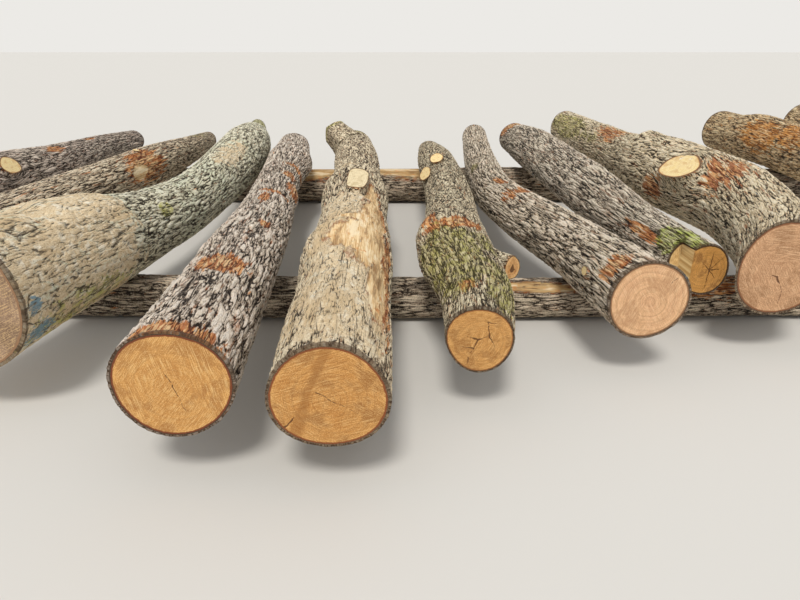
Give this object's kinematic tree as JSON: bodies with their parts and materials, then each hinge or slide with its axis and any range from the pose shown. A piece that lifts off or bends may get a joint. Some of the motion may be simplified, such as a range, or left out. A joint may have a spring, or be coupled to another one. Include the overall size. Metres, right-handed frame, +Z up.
{
  "type": "heap of logs",
  "caption": "Row of felled tree logs with rough bark and sawn ends, lying side by side across thinner bearer logs on the ground.",
  "frame": {"origin": "middle of the heap's footprint, on the ground", "axes": "+X along the bearers, +Y from the logs' butt ends to their far ends, +Z up"},
  "size_m": [10.13, 6.74, 0.9448],
  "materials": {
    "bark": "rough bark, sawn ends",
    "old_wood": "weathered bark"
  },
  "bodies": {
    "root": {"log_1": "bark", "log_2": "bark", "log_3": "bark", "log_4": "bark", "log_5": "bark", "log_6": "bark", "log_7": "bark", "log_8": "bark", "log_9": "bark", "log_10": "bark", "log_11": "bark", "front_bearer_left": "old_wood", "front_bearer_right": "old_wood", "rear_bearer_left": "old_wood", "rear_bearer_right": "old_wood"}
  },
  "joints": []
}
